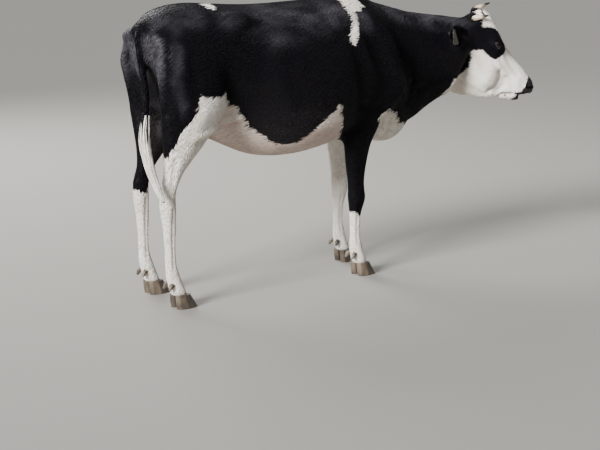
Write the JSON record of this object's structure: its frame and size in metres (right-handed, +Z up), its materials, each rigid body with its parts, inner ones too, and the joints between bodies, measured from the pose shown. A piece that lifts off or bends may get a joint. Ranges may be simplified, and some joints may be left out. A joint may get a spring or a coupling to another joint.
{
  "type": "standing heifer",
  "caption": "Life-size young dairy cow standing square on four cloven hooves, head turned a little aside, small horns, one tagged ear and a hanging tail.",
  "frame": {"origin": "on the floor, under the middle of the animal's bounding box", "axes": "+X towards the head, +Y to the animal's left, +Z up"},
  "size_m": [2.1992, 0.6022, 1.3189],
  "materials": {
    "black_coat": "short sleek hair",
    "white_coat": "short sleek hair",
    "udder_skin": "bare soft skin with fine down",
    "horn": "smooth horn with dark tips",
    "hoof_horn": "ringed dull horn",
    "eye": "wet and clear",
    "tag": "plain, with no number"
  },
  "bodies": {
    "root": {"cannon_fore_left": "white_coat", "cannon_fore_right": "white_coat", "cannon_hind_left": "white_coat", "cannon_hind_right": "white_coat", "claw_fore_left_left": "hoof_horn", "claw_fore_left_right": "hoof_horn", "claw_fore_right_left": "hoof_horn", "claw_fore_right_right": "hoof_horn", "claw_hind_left_left": "hoof_horn", "claw_hind_left_right": "hoof_horn", "claw_hind_right_left": "hoof_horn", "claw_hind_right_right": "hoof_horn", "dewclaw_fore_left_left": "hoof_horn", "dewclaw_fore_left_right": "hoof_horn", "dewclaw_fore_right_left": "hoof_horn", "dewclaw_fore_right_right": "hoof_horn", "dewclaw_hind_left_left": "hoof_horn", "dewclaw_hind_left_right": "hoof_horn", "dewclaw_hind_right_left": "hoof_horn", "dewclaw_hind_right_right": "hoof_horn", "ear_left": "black_coat", "ear_right": "black_coat", "ear_tag": "tag", "eye_left": "eye", "eye_right": "eye", "forearm_fore_left": "white_coat", "forearm_fore_right": "black_coat", "head": "white_coat", "horn_left": "horn", "horn_right": "horn", "muzzle": "white_coat", "neck": "black_coat", "tail_dock": "black_coat", "tail_switch": "white_coat", "thigh_hind_left": "black_coat", "thigh_hind_right": "black_coat", "trunk": "black_coat", "udder": "udder_skin"}
  },
  "joints": []
}
